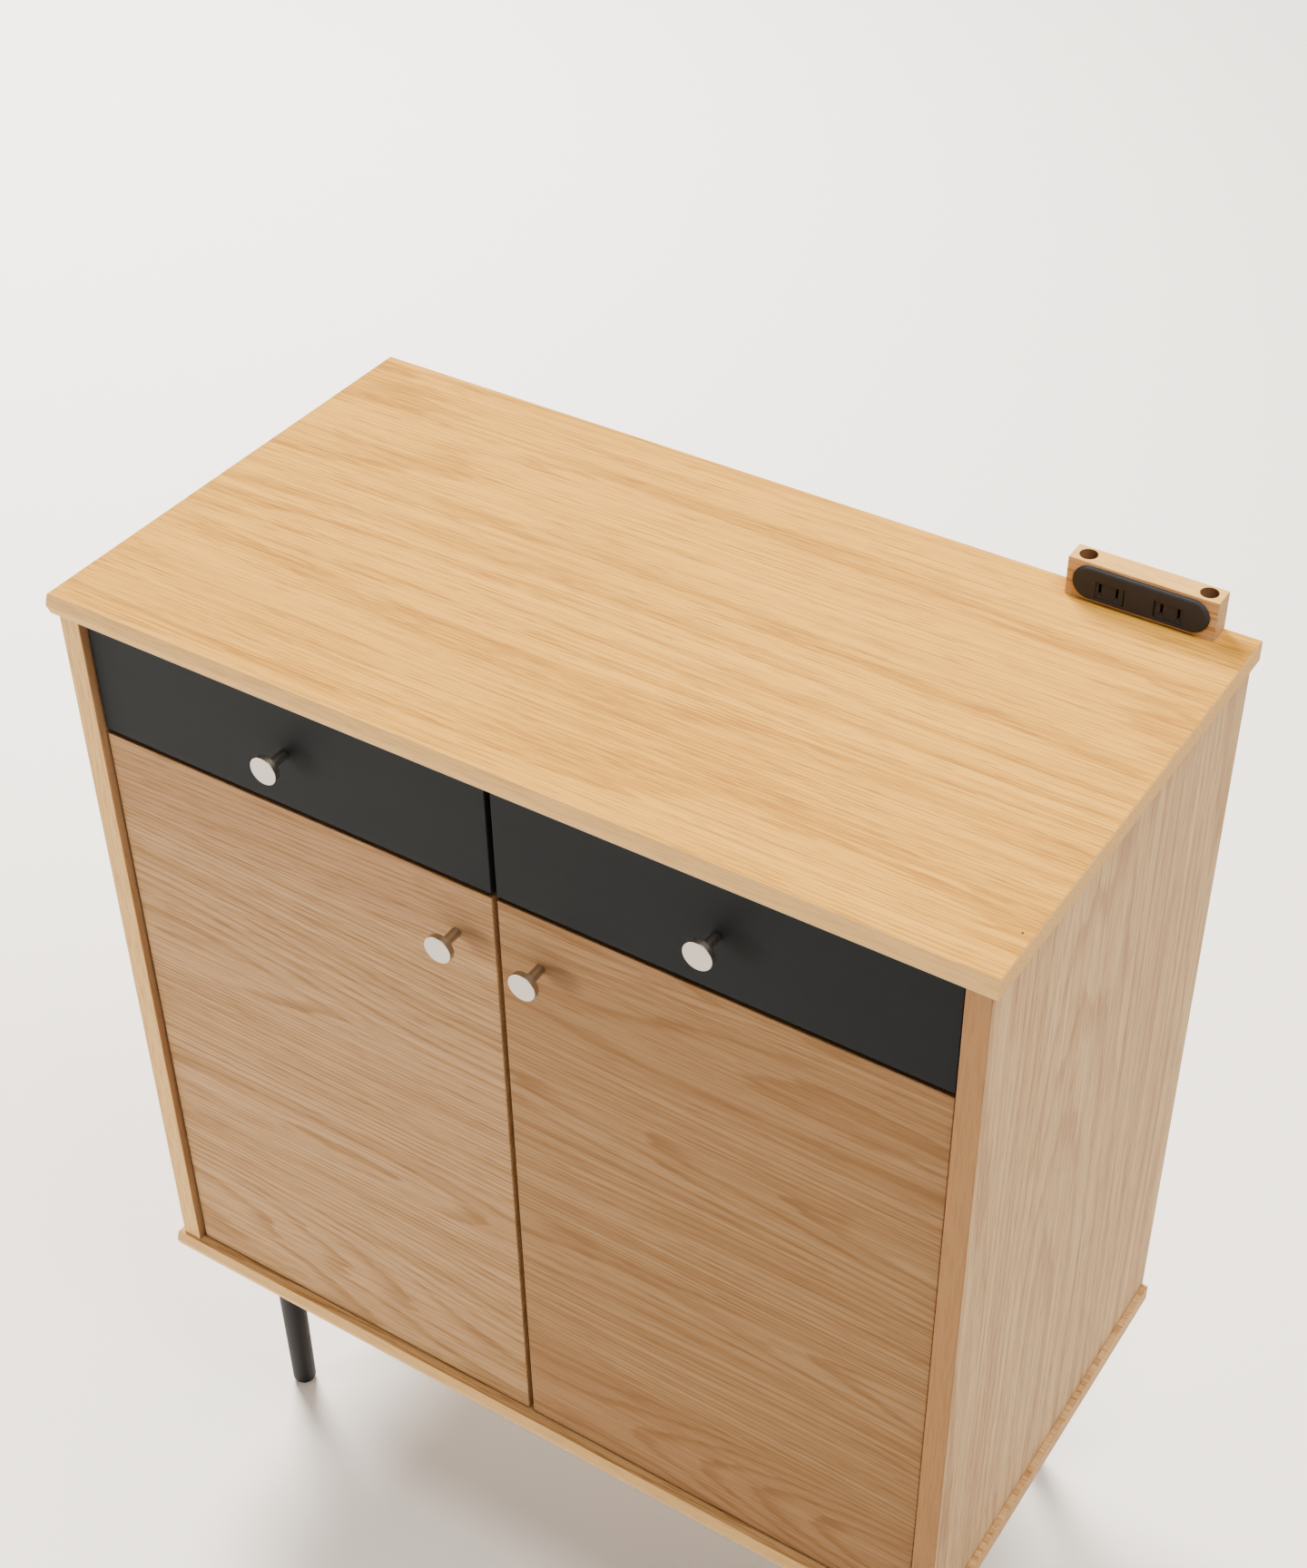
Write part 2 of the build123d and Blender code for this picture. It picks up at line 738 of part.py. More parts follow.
def hinge_plate(z):
    half = hinge_plate_length / 2
    spine_half = hinge_arm_width / 2
    wing_face = panel_inner - hinge_wing_thickness
    wing_half = hinge_plate_width / 2
    spine = block((plate_face, hinge_plate_y - half, z - spine_half),
                  (panel_inner, hinge_plate_y + half, z + spine_half))
    wing = block((wing_face, hinge_plate_y - wing_half, z - hinge_wing_reach),
                 (panel_inner, hinge_plate_y + wing_half, z + hinge_wing_reach))
    wing = fillet(wing.edges().filter_by(Axis.X), hinge_flange_corner)
    plate = spine + wing
    for y, level in hinge_plate_screws:
        plate -= rod(euro_screw_diameter / 2 + screw_play, (plate_face, y, level), (panel_inner, y, level))
    return plate - arm_screw_hole(z)


def arm_screw_hole(z):
    radius = arm_screw_diameter / 2 + screw_play
    return rod(radius, (panel_inner, hinge_plate_y, z), (root_face, hinge_plate_y, z))


def arm_screw(z):
    screw = rod(arm_screw_diameter / 2, (panel_inner, hinge_plate_y, z), (root_face, hinge_plate_y, z))
    head_top = root_face - arm_screw_head_height
    return screw + rod(arm_screw_head / 2, (root_face, hinge_plate_y, z), (head_top, hinge_plate_y, z))


def hinge_arm(z):
    eye = (axis_x, axis_y)
    lean = radians(hinge_neck_angle)
    neck = (axis_x - hinge_neck_length * cos(lean), axis_y + hinge_neck_length * sin(lean))
    bow = (axis_x - hinge_bow_out, axis_y + hinge_bow_back)
    root_x = (plate_face + root_face) / 2
    root_start = (root_x, axis_y + hinge_root_back)
    root_end = (root_x, axis_y + hinge_root_back + hinge_root_length)
    arm = bar(eye, neck, hinge_neck_radius, hinge_arm_width, z)
    arm += bar(neck, bow, hinge_neck_radius, hinge_arm_width, z)
    arm += bar(bow, root_start, hinge_neck_radius, hinge_arm_width, z)
    arm += bar(root_start, root_end, hinge_root_thickness / 2, hinge_arm_width, z)
    arm += bar_end(eye, hinge_eye_radius, z)
    arm -= rod(hinge_pin_diameter / 2 + screw_play, (*eye, z - hinge_arm_width), (*eye, z + hinge_arm_width))
    return arm - arm_screw_hole(z)


def bar_end(point, radius, z):
    return rod(radius, (*point, z - hinge_arm_width / 2), (*point, z + hinge_arm_width / 2))


def make_euro_screws():
    screws = [euro_screw(panel_inner, y, z, 1, hinge_wing_thickness) for y, z in hinge_plate_screws]
    screws += [euro_screw(panel_inner, y, runner_level, 1, runner_steel) for y in runner_screws_panel]
    screws = both_sides(screws)
    screws += [euro_screw(upright_half, y, runner_level, -1, runner_steel) for y in runner_screws_right]
    left = [euro_screw(upright_half, y, runner_level, -1, runner_steel) for y in runner_screws_panel]
    screws += [mirrored(screw) for screw in left]
    return screws


def make_door():
    board = make_front(door_low, door_top, door_knob_x, door_knob_z)
    for z in hinge_levels:
        board -= hinge_bores(z)
    return board


def make_shelf():
    reach = panel_inner - shelf_side_play
    shelf_front = inner_front + shelf_front_setback
    return block((-reach, shelf_front, shelf_low), (reach, back_face - slip_play, shelf_low + shelf_thickness))


def make_back_panel():
    reach = panel_inner + back_groove_depth
    return block((-reach, back_face, base_top), (reach, back_face + back_thickness, top_low))


# Outlet block

def stadium(length, height, depth, front):
    face = Plane.XZ * SlotOverall(length, height)
    solid = extrude(face, -depth)
    return Pos(block_middle, front, block_level) * solid


def make_outlet_block():
    wood = block((block_left, block_front, counter_height), (block_right, rear, block_top))
    wood = fillet(wood.edges().filter_by(Axis.Z) + wood.edges().group_by(Axis.Z)[-1], block_edge_round)
    for x in block_screw_xs:
        seat = (x, block_screw_y, block_screw_seat)
        wood -= rod(block_counterbore_diameter / 2, seat, (x, block_screw_y, block_top + overcut))
        wood -= rod(block_screw_diameter / 2 + screw_play, (x, block_screw_y, counter_height), seat)
    half_length = housing_length / 2 + slip_play
    half_height = housing_height / 2 + slip_play
    wood -= block((block_middle - half_length, block_front - overcut, block_level - half_height),
                  (block_middle + half_length, housing_back + slip_play, block_level + half_height))
    return wood - rod(gland_diameter / 2 + slip_play, (block_middle, block_front, block_level), gland_mouth)


socket_level = block_level - socket_drop
slot_low = socket_level + slot_rise - slot_height / 2
slot_high = slot_low + slot_height
plate_front = block_front - plate_thickness
recess_face = plate_front + socket_recess
# Each socket is a mirror image of the other, with its latch groove towards the middle of the plate
sockets = [(block_middle + way * socket_pitch / 2, way) for way in (-1, 1)]
slot_xs = [x + way * slot_spacing / 2 for x, side in sockets for way in (-1, 1)]


def socket_recess_cut(x, side):
    middle = x - side * socket_shift
    reach = socket_width / 2
    low = socket_level - socket_height / 2
    high = socket_level + socket_height / 2
    cut = block((middle - reach, plate_front - overcut, low), (middle + reach, recess_face, high))
    groove_x = middle - side * (reach - latch_groove_width / 2)
    groove_back = recess_face + latch_groove_depth
    return cut + block((groove_x - latch_groove_width / 2, plate_front - overcut, low),
                       (groove_x + latch_groove_width / 2, groove_back, high))


def slot_cut(x):
    # Each slot has a small ramp at its foot that leads the blade of a plug in
    half = slot_width / 2
    cut = block((x - half, plate_front - overcut, slot_low), (x + half, block_front + overcut, slot_high))
    foot = slot_low - slot_ramp_height
    outside = recess_face - overcut
    deep = recess_face + slot_ramp_depth
    profile = [(outside, slot_low), (deep, slot_low), (recess_face, foot), (outside, foot)]
    ramp = extrude(Plane.YZ * make_face(Polyline(*profile, close=True)), slot_ramp_width / 2, both=True)
    return cut + Pos(x, 0, 0) * ramp


def make_outlet_plate():
    plate = stadium(plate_length, plate_height, plate_thickness, plate_front)
    plate = fillet(plate.edges().group_by(Axis.Y)[0], plate_edge_round)
    for x, side in sockets:
        plate -= socket_recess_cut(x, side)
    for x in slot_xs:
        plate -= slot_cut(x)
    return plate


def make_outlet_housing():
    low = (block_middle - housing_length / 2, block_front, block_level - housing_height / 2)
    high = (block_middle + housing_length / 2, housing_back, block_level + housing_height / 2)
    inner_low = (low[0] + housing_wall, low[1] - overcut, low[2] + housing_wall)
    inner_high = [value - housing_wall for value in high]
    shell = block(low, high) - block(inner_low, inner_high)
    return shell - rod(gland_bore / 2, (block_middle, block_front, block_level), gland_mouth)


def make_contacts():
    springs = []
    for x in slot_xs:
        for way in (-1, 1):
            face = x + way * (slot_width / 2 + contact_thickness / 2)
            springs.append(block((face - contact_thickness / 2, block_front, slot_low),
                                 (face + contact_thickness / 2, block_front + contact_depth, slot_high)))
    return springs


def make_block_screws():
    screws = []
    for x in block_screw_xs:
        seat = (x, block_screw_y, block_screw_seat)
        screw = rod(block_screw_diameter / 2, (x, block_screw_y, counter_height - block_screw_depth), seat)
        head_top = (x, block_screw_y, block_screw_seat + block_screw_head_height)
        screws.append(screw + rod(block_screw_head / 2, seat, head_top))
    return screws


def make_gland():
    back = (block_middle, housing_back, block_level)
    return rod(gland_diameter / 2, back, gland_mouth) - rod(gland_bore / 2, back, gland_mouth)


os.makedirs("parts", exist_ok=True)

write("top_board", make_top_board())
write("base_board", make_base_board())
right_panel = make_side_panel()
write("right_side_panel", right_panel)
write("left_side_panel", mirrored(right_panel))
write("back_panel", make_back_panel())
write("middle_board", make_middle_board())
write("drawer_upright", make_upright())
write("shelf", make_shelf())
write("shelf_pins", *make_shelf_pins())
cams, bolts = make_connectors()
write("cam_locks", *cams)
write("cam_bolts", *bolts)
for corner, x, y in leg_corners:
    write(f"{corner}_leg", make_leg(x, y))
write("leg_plates", *[make_leg_plate(x, y) for corner, x, y in leg_corners])
write("leg_plate_screws", *[screw for corner, x, y in leg_corners for screw in make_leg_screws(x, y)])
write("leg_studs", *[make_stud(x, y) for corner, x, y in leg_corners])
write("leg_glides", *[make_glide(x, y) for corner, x, y in leg_corners])
write("outlet_block", make_outlet_block())
write("outlet_plate", make_outlet_plate())
write("outlet_housing", make_outlet_housing())
write("outlet_contacts", *make_contacts())
write("outlet_block_screws", *make_block_screws())
write("cord_gland", make_gland())
write("runner_cabinet_members", *both_sides(make_outer_members()))
write("hinge_plates", *both_sides([hinge_plate(z) for z in hinge_levels]))
write("hinge_arms", *both_sides([hinge_arm(z) for z in hinge_levels]))
write("hinge_arm_screws", *both_sides([arm_screw(z) for z in hinge_levels]))
write("euro_screws", *make_euro_screws())

right_drawer = {
    "front": [make_drawer_front()],
    "inner_side": [make_box_side(-1)],
    "outer_side": [make_box_side(1)],
    "back": [make_box_back()],
    "bottom": [make_box_bottom()],
    "knob": [make_knob(front_middle, drawer_knob_z)],
    "knob_screw": [make_knob_screw(front_middle, drawer_knob_z)],
    "runner_members": make_inner_members(),
    "runner_middle_members": make_middle_members(),
}
for piece, shapes in right_drawer.items():
    write(f"right_drawer_{piece}", *shapes)
    write(f"left_drawer_{piece}", *[mirrored(shape) for shape in shapes])

right_door = {
    "panel": [make_door()],
    "knob": [make_knob(door_knob_x, door_knob_z)],
    "knob_screw": [make_knob_screw(door_knob_x, door_knob_z)],
    "hinge_cups": [hinge_cup(z) for z in hinge_levels],
    "hinge_pins": [hinge_pin(z) for z in hinge_levels],
}
for piece, shapes in right_door.items():
    write(f"right_door_{piece}", *shapes)
    write(f"left_door_{piece}", *[mirrored(shape) for shape in shapes])
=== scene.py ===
import json
import math

import bmesh
import bpy
from mathutils import Matrix, Vector

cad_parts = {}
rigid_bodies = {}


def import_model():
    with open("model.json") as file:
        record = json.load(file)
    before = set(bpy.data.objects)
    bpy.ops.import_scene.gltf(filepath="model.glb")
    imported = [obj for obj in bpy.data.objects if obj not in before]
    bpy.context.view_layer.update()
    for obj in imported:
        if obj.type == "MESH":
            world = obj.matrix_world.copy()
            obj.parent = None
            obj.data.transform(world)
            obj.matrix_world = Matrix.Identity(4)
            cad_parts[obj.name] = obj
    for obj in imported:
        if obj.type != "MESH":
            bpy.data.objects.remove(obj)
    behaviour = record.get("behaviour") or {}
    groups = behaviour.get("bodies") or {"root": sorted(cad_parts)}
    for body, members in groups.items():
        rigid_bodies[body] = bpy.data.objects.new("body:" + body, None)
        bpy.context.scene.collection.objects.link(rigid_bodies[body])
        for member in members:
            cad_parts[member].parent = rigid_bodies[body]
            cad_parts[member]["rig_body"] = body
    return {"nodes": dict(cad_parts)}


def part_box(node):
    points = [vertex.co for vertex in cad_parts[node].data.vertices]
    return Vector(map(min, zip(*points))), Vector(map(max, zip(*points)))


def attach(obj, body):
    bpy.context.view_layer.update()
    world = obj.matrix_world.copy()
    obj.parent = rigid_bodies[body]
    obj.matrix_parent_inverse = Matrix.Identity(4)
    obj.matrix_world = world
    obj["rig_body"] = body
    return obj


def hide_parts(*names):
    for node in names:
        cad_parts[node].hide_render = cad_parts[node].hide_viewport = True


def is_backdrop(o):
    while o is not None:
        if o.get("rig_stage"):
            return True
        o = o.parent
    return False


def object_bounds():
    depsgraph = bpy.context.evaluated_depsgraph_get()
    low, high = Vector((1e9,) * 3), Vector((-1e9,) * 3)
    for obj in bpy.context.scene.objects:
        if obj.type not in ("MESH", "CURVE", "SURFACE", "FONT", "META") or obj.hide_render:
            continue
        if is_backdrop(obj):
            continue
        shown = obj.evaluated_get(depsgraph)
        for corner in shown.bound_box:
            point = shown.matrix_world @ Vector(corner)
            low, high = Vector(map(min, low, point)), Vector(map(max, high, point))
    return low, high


print("loading the cabinet")
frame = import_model()
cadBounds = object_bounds()
nodes = frame["nodes"]


# Small helpers for node trees

def newMaterial(name):
    material = bpy.data.materials.new(name)
    material.use_nodes = True
    tree = material.node_tree
    return material, tree, tree.nodes["Principled BSDF"]


def addNode(tree, kind, inputs=None, **settings):
    node = tree.nodes.new(kind)
    for key, value in settings.items():
        setattr(node, key, value)
    for key, value in (inputs or {}).items():
        if isinstance(value, bpy.types.NodeSocket):
            tree.links.new(value, node.inputs[key])
        else:
            node.inputs[key].default_value = value
    return node


def calc(tree, operation, first, second=0.0):
    return addNode(tree, "ShaderNodeMath", {0: first, 1: second}, operation=operation).outputs[0]


def plus(tree, first, second):
    return calc(tree, "ADD", first, second)


def minus(tree, first, second):
    return calc(tree, "SUBTRACT", first, second)


def times(tree, first, second):
    return calc(tree, "MULTIPLY", first, second)


def distance(tree, first, second):
    return calc(tree, "SQRT", plus(tree, times(tree, first, first), times(tree, second, second)))


def mixColour(tree, factor, first, second):
    # a colour is a socket or three numbers
    inputs = {0: factor}
    for index, tone in ((6, first), (7, second)):
        inputs[index] = tone if isinstance(tone, bpy.types.NodeSocket) else (*tone, 1.0)
    return addNode(tree, "ShaderNodeMix", inputs, data_type="RGBA", clamp_factor=True).outputs[2]


def ramp(tree, value, low, high):
    node = addNode(tree, "ShaderNodeMapRange", {"Value": value, "From Min": low, "From Max": high},
                   interpolation_type="SMOOTHSTEP")
    return node.outputs[0]


def stretchedNoise(tree, place, along, length, width, detail=2.0, roughness=0.5):
    # noise with cells so many metres long down the grain and so many metres wide across it
    scale = [1.0 / width] * 3
    scale[along] = 1.0 / length
    mapped = addNode(tree, "ShaderNodeMapping", {"Vector": place, "Scale": tuple(scale)}).outputs[0]
    settings = {"Vector": mapped, "Scale": 1.0, "Detail": detail, "Roughness": roughness}
    return addNode(tree, "ShaderNodeTexNoise", settings).outputs["Fac"]


def finishShader(tree, shader, look, colour, unevenness, height):
    # colour, sheen and relief, the same way for every material
    tree.links.new(colour, shader.inputs["Base Color"])
    spread = look["roughSpread"]
    rough = plus(tree, times(tree, unevenness, spread), look["roughness"] - spread / 2)
    tree.links.new(rough, shader.inputs["Roughness"])
    shader.inputs["Specular IOR Level"].default_value = look["gloss"]
    relief = {"Strength": look["bump"], "Distance": look["bumpDepth"], "Height": height}
    tree.links.new(addNode(tree, "ShaderNodeBump", relief).outputs[0], shader.inputs["Normal"])


def dress(material, *names):
    for name in names:
        for slot in nodes[name].material_slots:
            slot.material = material


# Oak veneer: each leaf is cut beside the heart of its own tree, so the growth rings, which are
# worked out as distances from that heart, draw long lines and open arches down the leaf

oakLook = {
    "pale": (0.66, 0.334, 0.046),
    "deep": (0.39, 0.175, 0.024),
    "blush": (0.60, 0.290, 0.044),
    "pore": (0.20, 0.080, 0.016),
    "leafWidth": 0.17,
    "leafTone": 0.4,
    "leafShift": 0.37,       # leaves that the first one is moved by, for each seed
    "ringPitch": 0.0024,
    "ringJitter": 0.9,       # in rings
    "heartOffset": 0.9,      # how far off the leaf's middle, in leaf widths
    "heartDepth": 0.03,
    "heartWander": 0.03,
    "heartLevel": 0.42,      # noise level at which the heart is at its own depth
    "wanderLength": 0.9,
    "wanderWidth": 1.6,      # in leaf widths
    "yearScale": 0.28,
    "ringStrength": 0.7,
    "faintRings": 0.5,       # what is left of a ring where it fades
    "growthStrength": 0.2,
    "bandStrength": 0.14,
    "fibreStrength": 0.7,
    "poreStrength": 0.45,
    "poresInRings": 0.1,
    "roughness": 0.6,
    "roughSpread": 0.14,
    "gloss": 0.05,
    "bump": 0.2,
    "bumpDepth": 0.0004,
    "fibreHeight": 0.3,
    "boreFade": 0.0003,
    "bands": (),
    "poreAndHoleShade": (),
}
oakNoise = {                 # length and width of a cell in metres, detail, roughness
    "jitter": (0.22, 0.012, 2.0, 0.5),
    "band": (0.5, 0.016, 2.0, 0.55),
    "fibre": (0.16, 0.0012, 2.0, 0.6),
    "pore": (0.03, 0.0011, 1.0, 0.5),
    "fleck": (0.03, 0.0014, 2.0, 0.6),
}
oakFade = {                  # where each pattern starts to show and where it shows fully
    "ringStart": (0.5, 0.86),
    "ringEnd": (1.0, 0.92),
    "ringPatch": (0.35, 0.62),
    "band": (0.4, 0.7),
    "growth": (0.45, 0.72),
    "fibre": (0.46, 0.62),
    "pore": (0.56, 0.7),
    "fleck": (0.42, 0.66),
}
seedSteps = (1.37, 0.73, 2.11)
seedLuck = 7.3


def oak(name, grain, across, seed, **changes):
    # grain is the axis that the fibres follow, across the axis that the leaves of veneer follow
    look = dict(oakLook, **changes)
    material, tree, shader = newMaterial(name)
    along = "XYZ".index(grain)
    over = "XYZ".index(across)
    deep = 3 - along - over
    place = addNode(tree, "ShaderNodeTexCoord").outputs["Object"]
    shift = tuple(seed * step for step in seedSteps)
    shifted = addNode(tree, "ShaderNodeMapping", {"Vector": place, "Location": shift}).outputs[0]
    parts = addNode(tree, "ShaderNodeSeparateXYZ", {"Vector": place}).outputs

    def noise(kind):
        return stretchedNoise(tree, shifted, along, *oakNoise[kind])

    def fade(value, kind):
        return ramp(tree, value, *oakFade[kind])

    def stain(colour, mask, strength, tone):
        return mixColour(tree, times(tree, mask, strength), colour, tone)

    # which leaf, and what is special about it
    leafPlace = plus(tree, calc(tree, "DIVIDE", parts[over], look["leafWidth"]), seed * look["leafShift"])
    leaf = calc(tree, "FLOOR", leafPlace)
    inLeaf = minus(tree, calc(tree, "FRACT", leafPlace), 0.5)
    chance = {"W": plus(tree, leaf, seed * seedLuck)}
    luck = addNode(tree, "ShaderNodeTexWhiteNoise", chance, noise_dimensions="1D").outputs["Color"]
    lucky = addNode(tree, "ShaderNodeSeparateColor", {"Color": luck}).outputs
    offCentre = minus(tree, inLeaf, times(tree, minus(tree, lucky[0], 0.5), look["heartOffset"]))
    sideways = times(tree, offCentre, look["leafWidth"])
    # the heart runs deeper and shallower along the leaf
    slowWidth = look["leafWidth"] * look["wanderWidth"]
    slow = stretchedNoise(tree, shifted, along, look["wanderLength"], slowWidth, 1.0, 0.4)
    wander = times(tree, minus(tree, slow, look["heartLevel"]), look["heartWander"] * 2.0)
    depth = plus(tree, plus(tree, wander, times(tree, lucky[1], look["heartDepth"])), parts[deep])
    ringPlace = calc(tree, "DIVIDE", distance(tree, sideways, depth), look["ringPitch"])
    rings = plus(tree, ringPlace, times(tree, noise("jitter"), look["ringJitter"]))
    tooth = calc(tree, "FRACT", rings)
    early = times(tree, fade(tooth, "ringStart"), fade(tooth, "ringEnd"))
    band = noise("band")
    shown = plus(tree, times(tree, fade(band, "ringPatch"), 1.0 - look["faintRings"]), look["faintRings"])
    # fast and slow years make wider bands that follow the same arches as the rings
    yearly = {"W": rings, "Scale": look["yearScale"], "Detail": 2.0}
    years = addNode(tree, "ShaderNodeTexNoise", yearly, noise_dimensions="1D").outputs["Fac"]
    colour = stain(look["pale"], lucky[2], look["leafTone"], look["blush"])
    colour = stain(colour, fade(band, "band"), look["bandStrength"], look["deep"])
    colour = stain(colour, fade(years, "growth"), look["growthStrength"], look["deep"])
    colour = stain(colour, times(tree, early, shown), look["ringStrength"], look["deep"])
    # long fine fibres, and the open pores: short dark dashes, most of them in the rings
    fibre = noise("fibre")
    colour = stain(colour, fade(fibre, "fibre"), look["fibreStrength"], look["deep"])
    pores = fade(plus(tree, noise("pore"), times(tree, early, look["poresInRings"])), "pore")
    colour = stain(colour, pores, look["poreStrength"], look["pore"])
    # faces that are seen beside the veneer, such as banded edges, have a tone of their own, and the darker
    # bands on the inside faces of the side panels are painted shade for the narrow gaps beside the drawers and
    # doors
    for axis, start, reach, tone, flecked, cover in look["bands"]:
        onBand = ramp(tree, parts["XYZ".index(axis)], start, start + reach)
        bandColour = stain(tone, fade(noise("fleck"), "fleck"), flecked, look["pore"])
        colour = stain(colour, onBand, cover, bandColour)
    # dark discs with a soft rim: the top's one open pore, and painted shade inside the screw counterbores of
    # the outlet block
    for boreX, boreY, radius, tone in look["poreAndHoleShade"]:
        away = distance(tree, minus(tree, parts[0], boreX), minus(tree, parts[1], boreY))
        colour = mixColour(tree, ramp(tree, away, radius, radius - look["boreFade"]), colour, tone)
    height = minus(tree, times(tree, fibre, look["fibreHeight"]), pores)
    finishShader(tree, shader, look, colour, fibre, height)
    return material


# Boards. A band on an edge is its axis, where it starts, over how far it fades in, its tone, how strong
# its flecks are and how much of the veneer it covers

print("oak boards")
noseTone = (0.68, 0.41, 0.15)
edgeTone = (0.37, 0.195, 0.08)
backingTone = (0.40, 0.37, 0.33)
# painted shade: a dark tone on the inside faces of the side panels, for the shade in the gaps beside the
# drawers and doors
gapShadeTone = (0.27, 0.12, 0.05)
boardEdge = {                 # where the bands on the edges of the top and base boards start
    "front": -0.1962,
    "back": 0.1992,
    "left": -0.3742,
    "right": 0.3742,
    "underTop": 0.8838,
    "underBase": 0.2028,
}
sidePanelFront = -0.1930
edgeReach = 0.0006
innerInset, innerReach = 0.0007, 0.0004
noseBand = ("Y", boardEdge["front"], -0.0008, noseTone, 0.2, 1.0)
topLook = {
    "gloss": 0.02,
    "roughness": 0.68,
    "heartWander": 0.009,
    "heartDepth": 0.06,
    "ringStrength": 0.5,
    "growthStrength": 0.15,
    "leafTone": 0.3,
    "poreAndHoleShade": ((0.3672, -0.153, 0.0010, (0.06, 0.025, 0.01)),),     # one dark pore near the front corner
    "bands": (
        noseBand,
        ("X", boardEdge["right"], edgeReach, noseTone, 0.3, 1.0),
        ("X", boardEdge["left"], -edgeReach, noseTone, 0.3, 1.0),
        ("Y", boardEdge["back"], edgeReach, noseTone, 0.3, 1.0),
        ("Z", boardEdge["underTop"], -edgeReach, backingTone, 0.2, 0.85),
    ),
}
dress(oak("oak top", "X", "Y", 1.0, **topLook), "top_board")
baseLook = {
    "pale": (0.68, 0.42, 0.19),
    "deep": (0.44, 0.23, 0.08),
    "blush": (0.60, 0.35, 0.14),
    "bands": (noseBand, ("Z", boardEdge["underBase"], -edgeReach, backingTone, 0.2, 0.85)),
}
dress(oak("oak base", "X", "Y", 2.0, **baseLook), "base_board")

sideLook = {
    "pale": (0.65, 0.435, 0.215),
    "deep": (0.40, 0.22, 0.095),
    "blush": (0.58, 0.37, 0.19),
    "pore": (0.26, 0.13, 0.055),
    "leafWidth": 0.14,
    "ringPitch": 0.0034,
    "ringStrength": 0.5,
    "growthStrength": 0.35,
    "bandStrength": 0.3,
    "wanderLength": 1.6,
}
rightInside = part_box("right_side_panel")[0][0] + innerInset
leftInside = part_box("left_side_panel")[1][0] - innerInset
# the last band on each side panel is painted shade on its inside face
rightSideBands = (("Y", sidePanelFront, -edgeReach, edgeTone, 0.4, 1.0),
                  ("X", rightInside, -innerReach, gapShadeTone, 0.3, 0.65))
leftSideBands = (("Y", sidePanelFront, -edgeReach, noseTone, 0.4, 1.0),
                 ("X", leftInside, innerReach, gapShadeTone, 0.3, 0.65))
dress(oak("oak right side", "Z", "Y", 3.0, bands=rightSideBands, **sideLook), "right_side_panel")
dress(oak("oak left side", "Z", "Y", 4.0, bands=leftSideBands, **sideLook), "left_side_panel")

doorLook = {
    "pore": (0.17, 0.075, 0.028),
    "leafWidth": 0.15,
    "leafTone": 0.9,
    "ringPitch": 0.0026,
    "ringStrength": 0.8,
    "bandStrength": 0.25,
    "heartWander": 0.032,
    "heartDepth": 0.022,
    "wanderLength": 0.8,
}
# the right door's oak is darker and pinker and the left door's paler: partly the leaves' own tone and partly
# painted light, because the light falls more strongly on the left door
rightDoorLook = dict(doorLook, growthStrength=0.4, pale=(0.355, 0.210, 0.094),
                     deep=(0.225, 0.113, 0.042), blush=(0.30, 0.155, 0.072))
leftDoorLook = dict(doorLook, growthStrength=0.5, pale=(0.455, 0.280, 0.132),
                    deep=(0.275, 0.147, 0.057), blush=(0.385, 0.205, 0.104))
dress(oak("oak right door", "X", "Z", 5.0, **rightDoorLook), "right_door_panel")
dress(oak("oak left door", "X", "Z", 6.0, **leftDoorLook), "left_door_panel")

insideLook = {
    "pale": (0.50, 0.33, 0.17),
    "deep": (0.34, 0.20, 0.09),
    "blush": (0.44, 0.27, 0.13),
    "ringStrength": 0.4,
}
dress(oak("oak inside", "X", "Y", 7.0, **insideLook), "middle_board", "shelf")
dress(oak("oak upright", "Y", "Z", 8.0, **insideLook), "drawer_upright")
dress(oak("oak back sheet", "Z", "X", 9.0, **insideLook), "back_panel")

blockTopInset, blockTopReach = 0.0006, 0.0004
# the size and tone of the painted shade in the screw counterbores
holeShadeRadius = 0.0069
holeShadeTone = (0.20, 0.105, 0.05)
screwHeadRadius = 0.0041
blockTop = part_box("outlet_block")[1][2] - blockTopInset
screwLow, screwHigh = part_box("outlet_block_screws")
boreY = (screwLow[1] + screwHigh[1]) / 2
blockLook = {
    "pale": (0.60, 0.39, 0.19),
    "deep": (0.44, 0.25, 0.10),
    "blush": (0.54, 0.33, 0.15),
    "leafWidth": 0.06,
    # dark discs centred on the two outer screws paint the shade inside their counterbores
    "poreAndHoleShade": [(boreX, boreY, holeShadeRadius, holeShadeTone)
              for boreX in (screwLow[0] + screwHeadRadius, screwHigh[0] - screwHeadRadius)],
    "bands": (("Z", blockTop, blockTopReach, (0.66, 0.37, 0.10), 0.25, 1.0),),
}
dress(oak("oak block", "X", "Z", 10.0, **blockLook), "outlet_block")


# Drawer fronts: charcoal stain over a close grain

charcoalLook = {
    "dark": (0.0070, 0.0082, 0.0090),
    "light": (0.0125, 0.0142, 0.0152),
    "grain": (0.05, 0.0014, 3.0, 0.6),
    "cloud": (0.2, 0.05),
    "grainShare": 0.4,
    "cloudShare": 0.6,
    "roughness": 0.6,
    "roughSpread": 0.12,
    "gloss": 0.08,
    "bump": 0.12,
    "bumpDepth": 0.0003,
}


